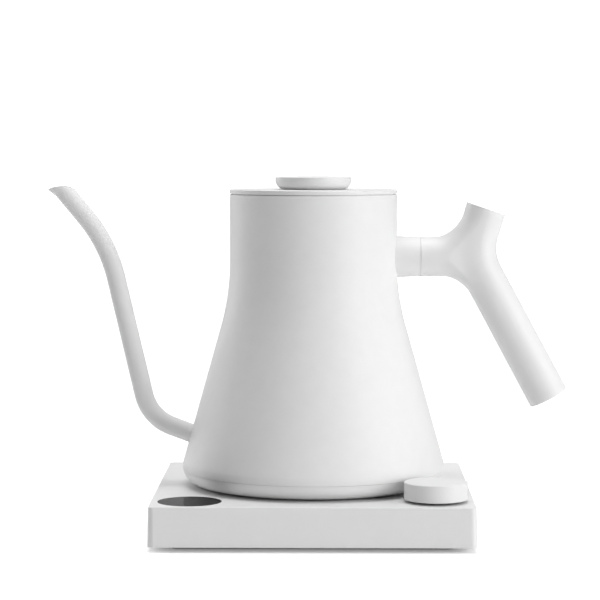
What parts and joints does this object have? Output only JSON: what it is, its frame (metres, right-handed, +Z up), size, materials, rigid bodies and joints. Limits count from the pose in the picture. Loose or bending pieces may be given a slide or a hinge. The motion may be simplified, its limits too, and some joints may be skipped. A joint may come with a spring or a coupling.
{
  "type": "gooseneck kettle",
  "caption": "Electric gooseneck kettle: tapered vessel with slim curved spout and forked round handle, lifting off a square powered base with display and dial.",
  "frame": {"origin": "on the table under the middle of the square base, on the axis of the vessel", "axes": "+Z up along the vessel's axis, +X towards the handle, -X towards the spout, -Y is the front with display and dial"},
  "size_m": [0.288, 0.1728, 0.1956],
  "materials": {
    "white_coat": "fine matte powder coat",
    "white_plastic": "fine matte moulded texture",
    "black_plastic": "matte",
    "grey_plastic": "fine matte moulded texture",
    "screen": "smooth",
    "dark_glass": "polished",
    "rubber": "matte",
    "silicone": "satin",
    "steel": "brushed",
    "brass": "satin",
    "aluminium": "satin",
    "board": "solder mask",
    "nylon": "matte",
    "lead_sleeve": "smooth",
    "ribbon": "smooth",
    "core": "varnished laminations"
  },
  "bodies": {
    "base": {"base_cover": "white_plastic", "base_bottom_plate": "grey_plastic", "rubber_feet": "rubber", "base_screws": "steel", "display_lens": "dark_glass", "display_gasket": "rubber", "display_module": "screen", "encoder_body": "black_plastic", "encoder_nut": "steel", "base_connector": "black_plastic", "connector_seal": "rubber", "base_contacts": "brass", "control_board": "board", "power_board": "board", "relay": "black_plastic", "transformer": "core", "terminal_block": "black_plastic", "capacitors": "aluminium", "buzzer": "black_plastic", "cord_gland": "black_plastic", "mains_leads": "lead_sleeve", "connector_leads": "lead_sleeve", "ribbon_cable": "ribbon"},
    "encoder": {"encoder_rotor": "nylon"},
    "dial": {"dial_knob": "white_plastic", "encoder_shaft": "steel"},
    "connector": {"kettle_socket": "black_plastic", "socket_contacts": "brass"},
    "kettle": {"kettle_body": "white_coat", "kettle_bottom_ring": "white_plastic", "kettle_bottom_cover": "black_plastic", "bottom_cover_screws": "steel", "bottom_posts": "steel", "kettle_rest_pads": "rubber", "heating_plate": "steel", "heat_spreader": "aluminium", "heating_element": "aluminium", "element_terminals": "brass", "thermal_cutoffs": "steel", "temperature_probe": "steel", "probe_gasket": "silicone", "spout": "white_coat", "handle_collar": "white_coat", "handle_shell": "white_plastic", "grip_weight": "steel", "grip_end_plug": "white_plastic", "handle_set_screw": "steel"},
    "lid": {"lid_cover": "white_coat", "lid_knob": "white_plastic", "lid_plug": "steel", "lid_gasket": "silicone", "lid_screw": "steel"}
  },
  "joints": [
    {"name": "kettle_lift", "type": "slide", "parent": "base", "child": "connector", "axis": [0, 0, 1], "range_m": [0, 0.1]},
    {"name": "kettle_turn", "type": "hinge", "parent": "connector", "child": "kettle", "pos_m": [0, 0, 0.03], "axis": [0, 0, 1], "continuous": true},
    {"name": "lid_lift", "type": "slide", "parent": "kettle", "child": "lid", "axis": [0, 0, 1], "range_m": [0, 0.06]},
    {"name": "dial_turn", "type": "hinge", "parent": "base", "child": "encoder", "pos_m": [0.0655, -0.064, 0.025], "axis": [0, 0, 1], "continuous": true},
    {"name": "dial_press", "type": "slide", "parent": "encoder", "child": "dial", "axis": [0, 0, -1], "range_m": [0, 0.0008], "stiffness_N_per_m": 1500, "springref_m": -0.001}
  ]
}
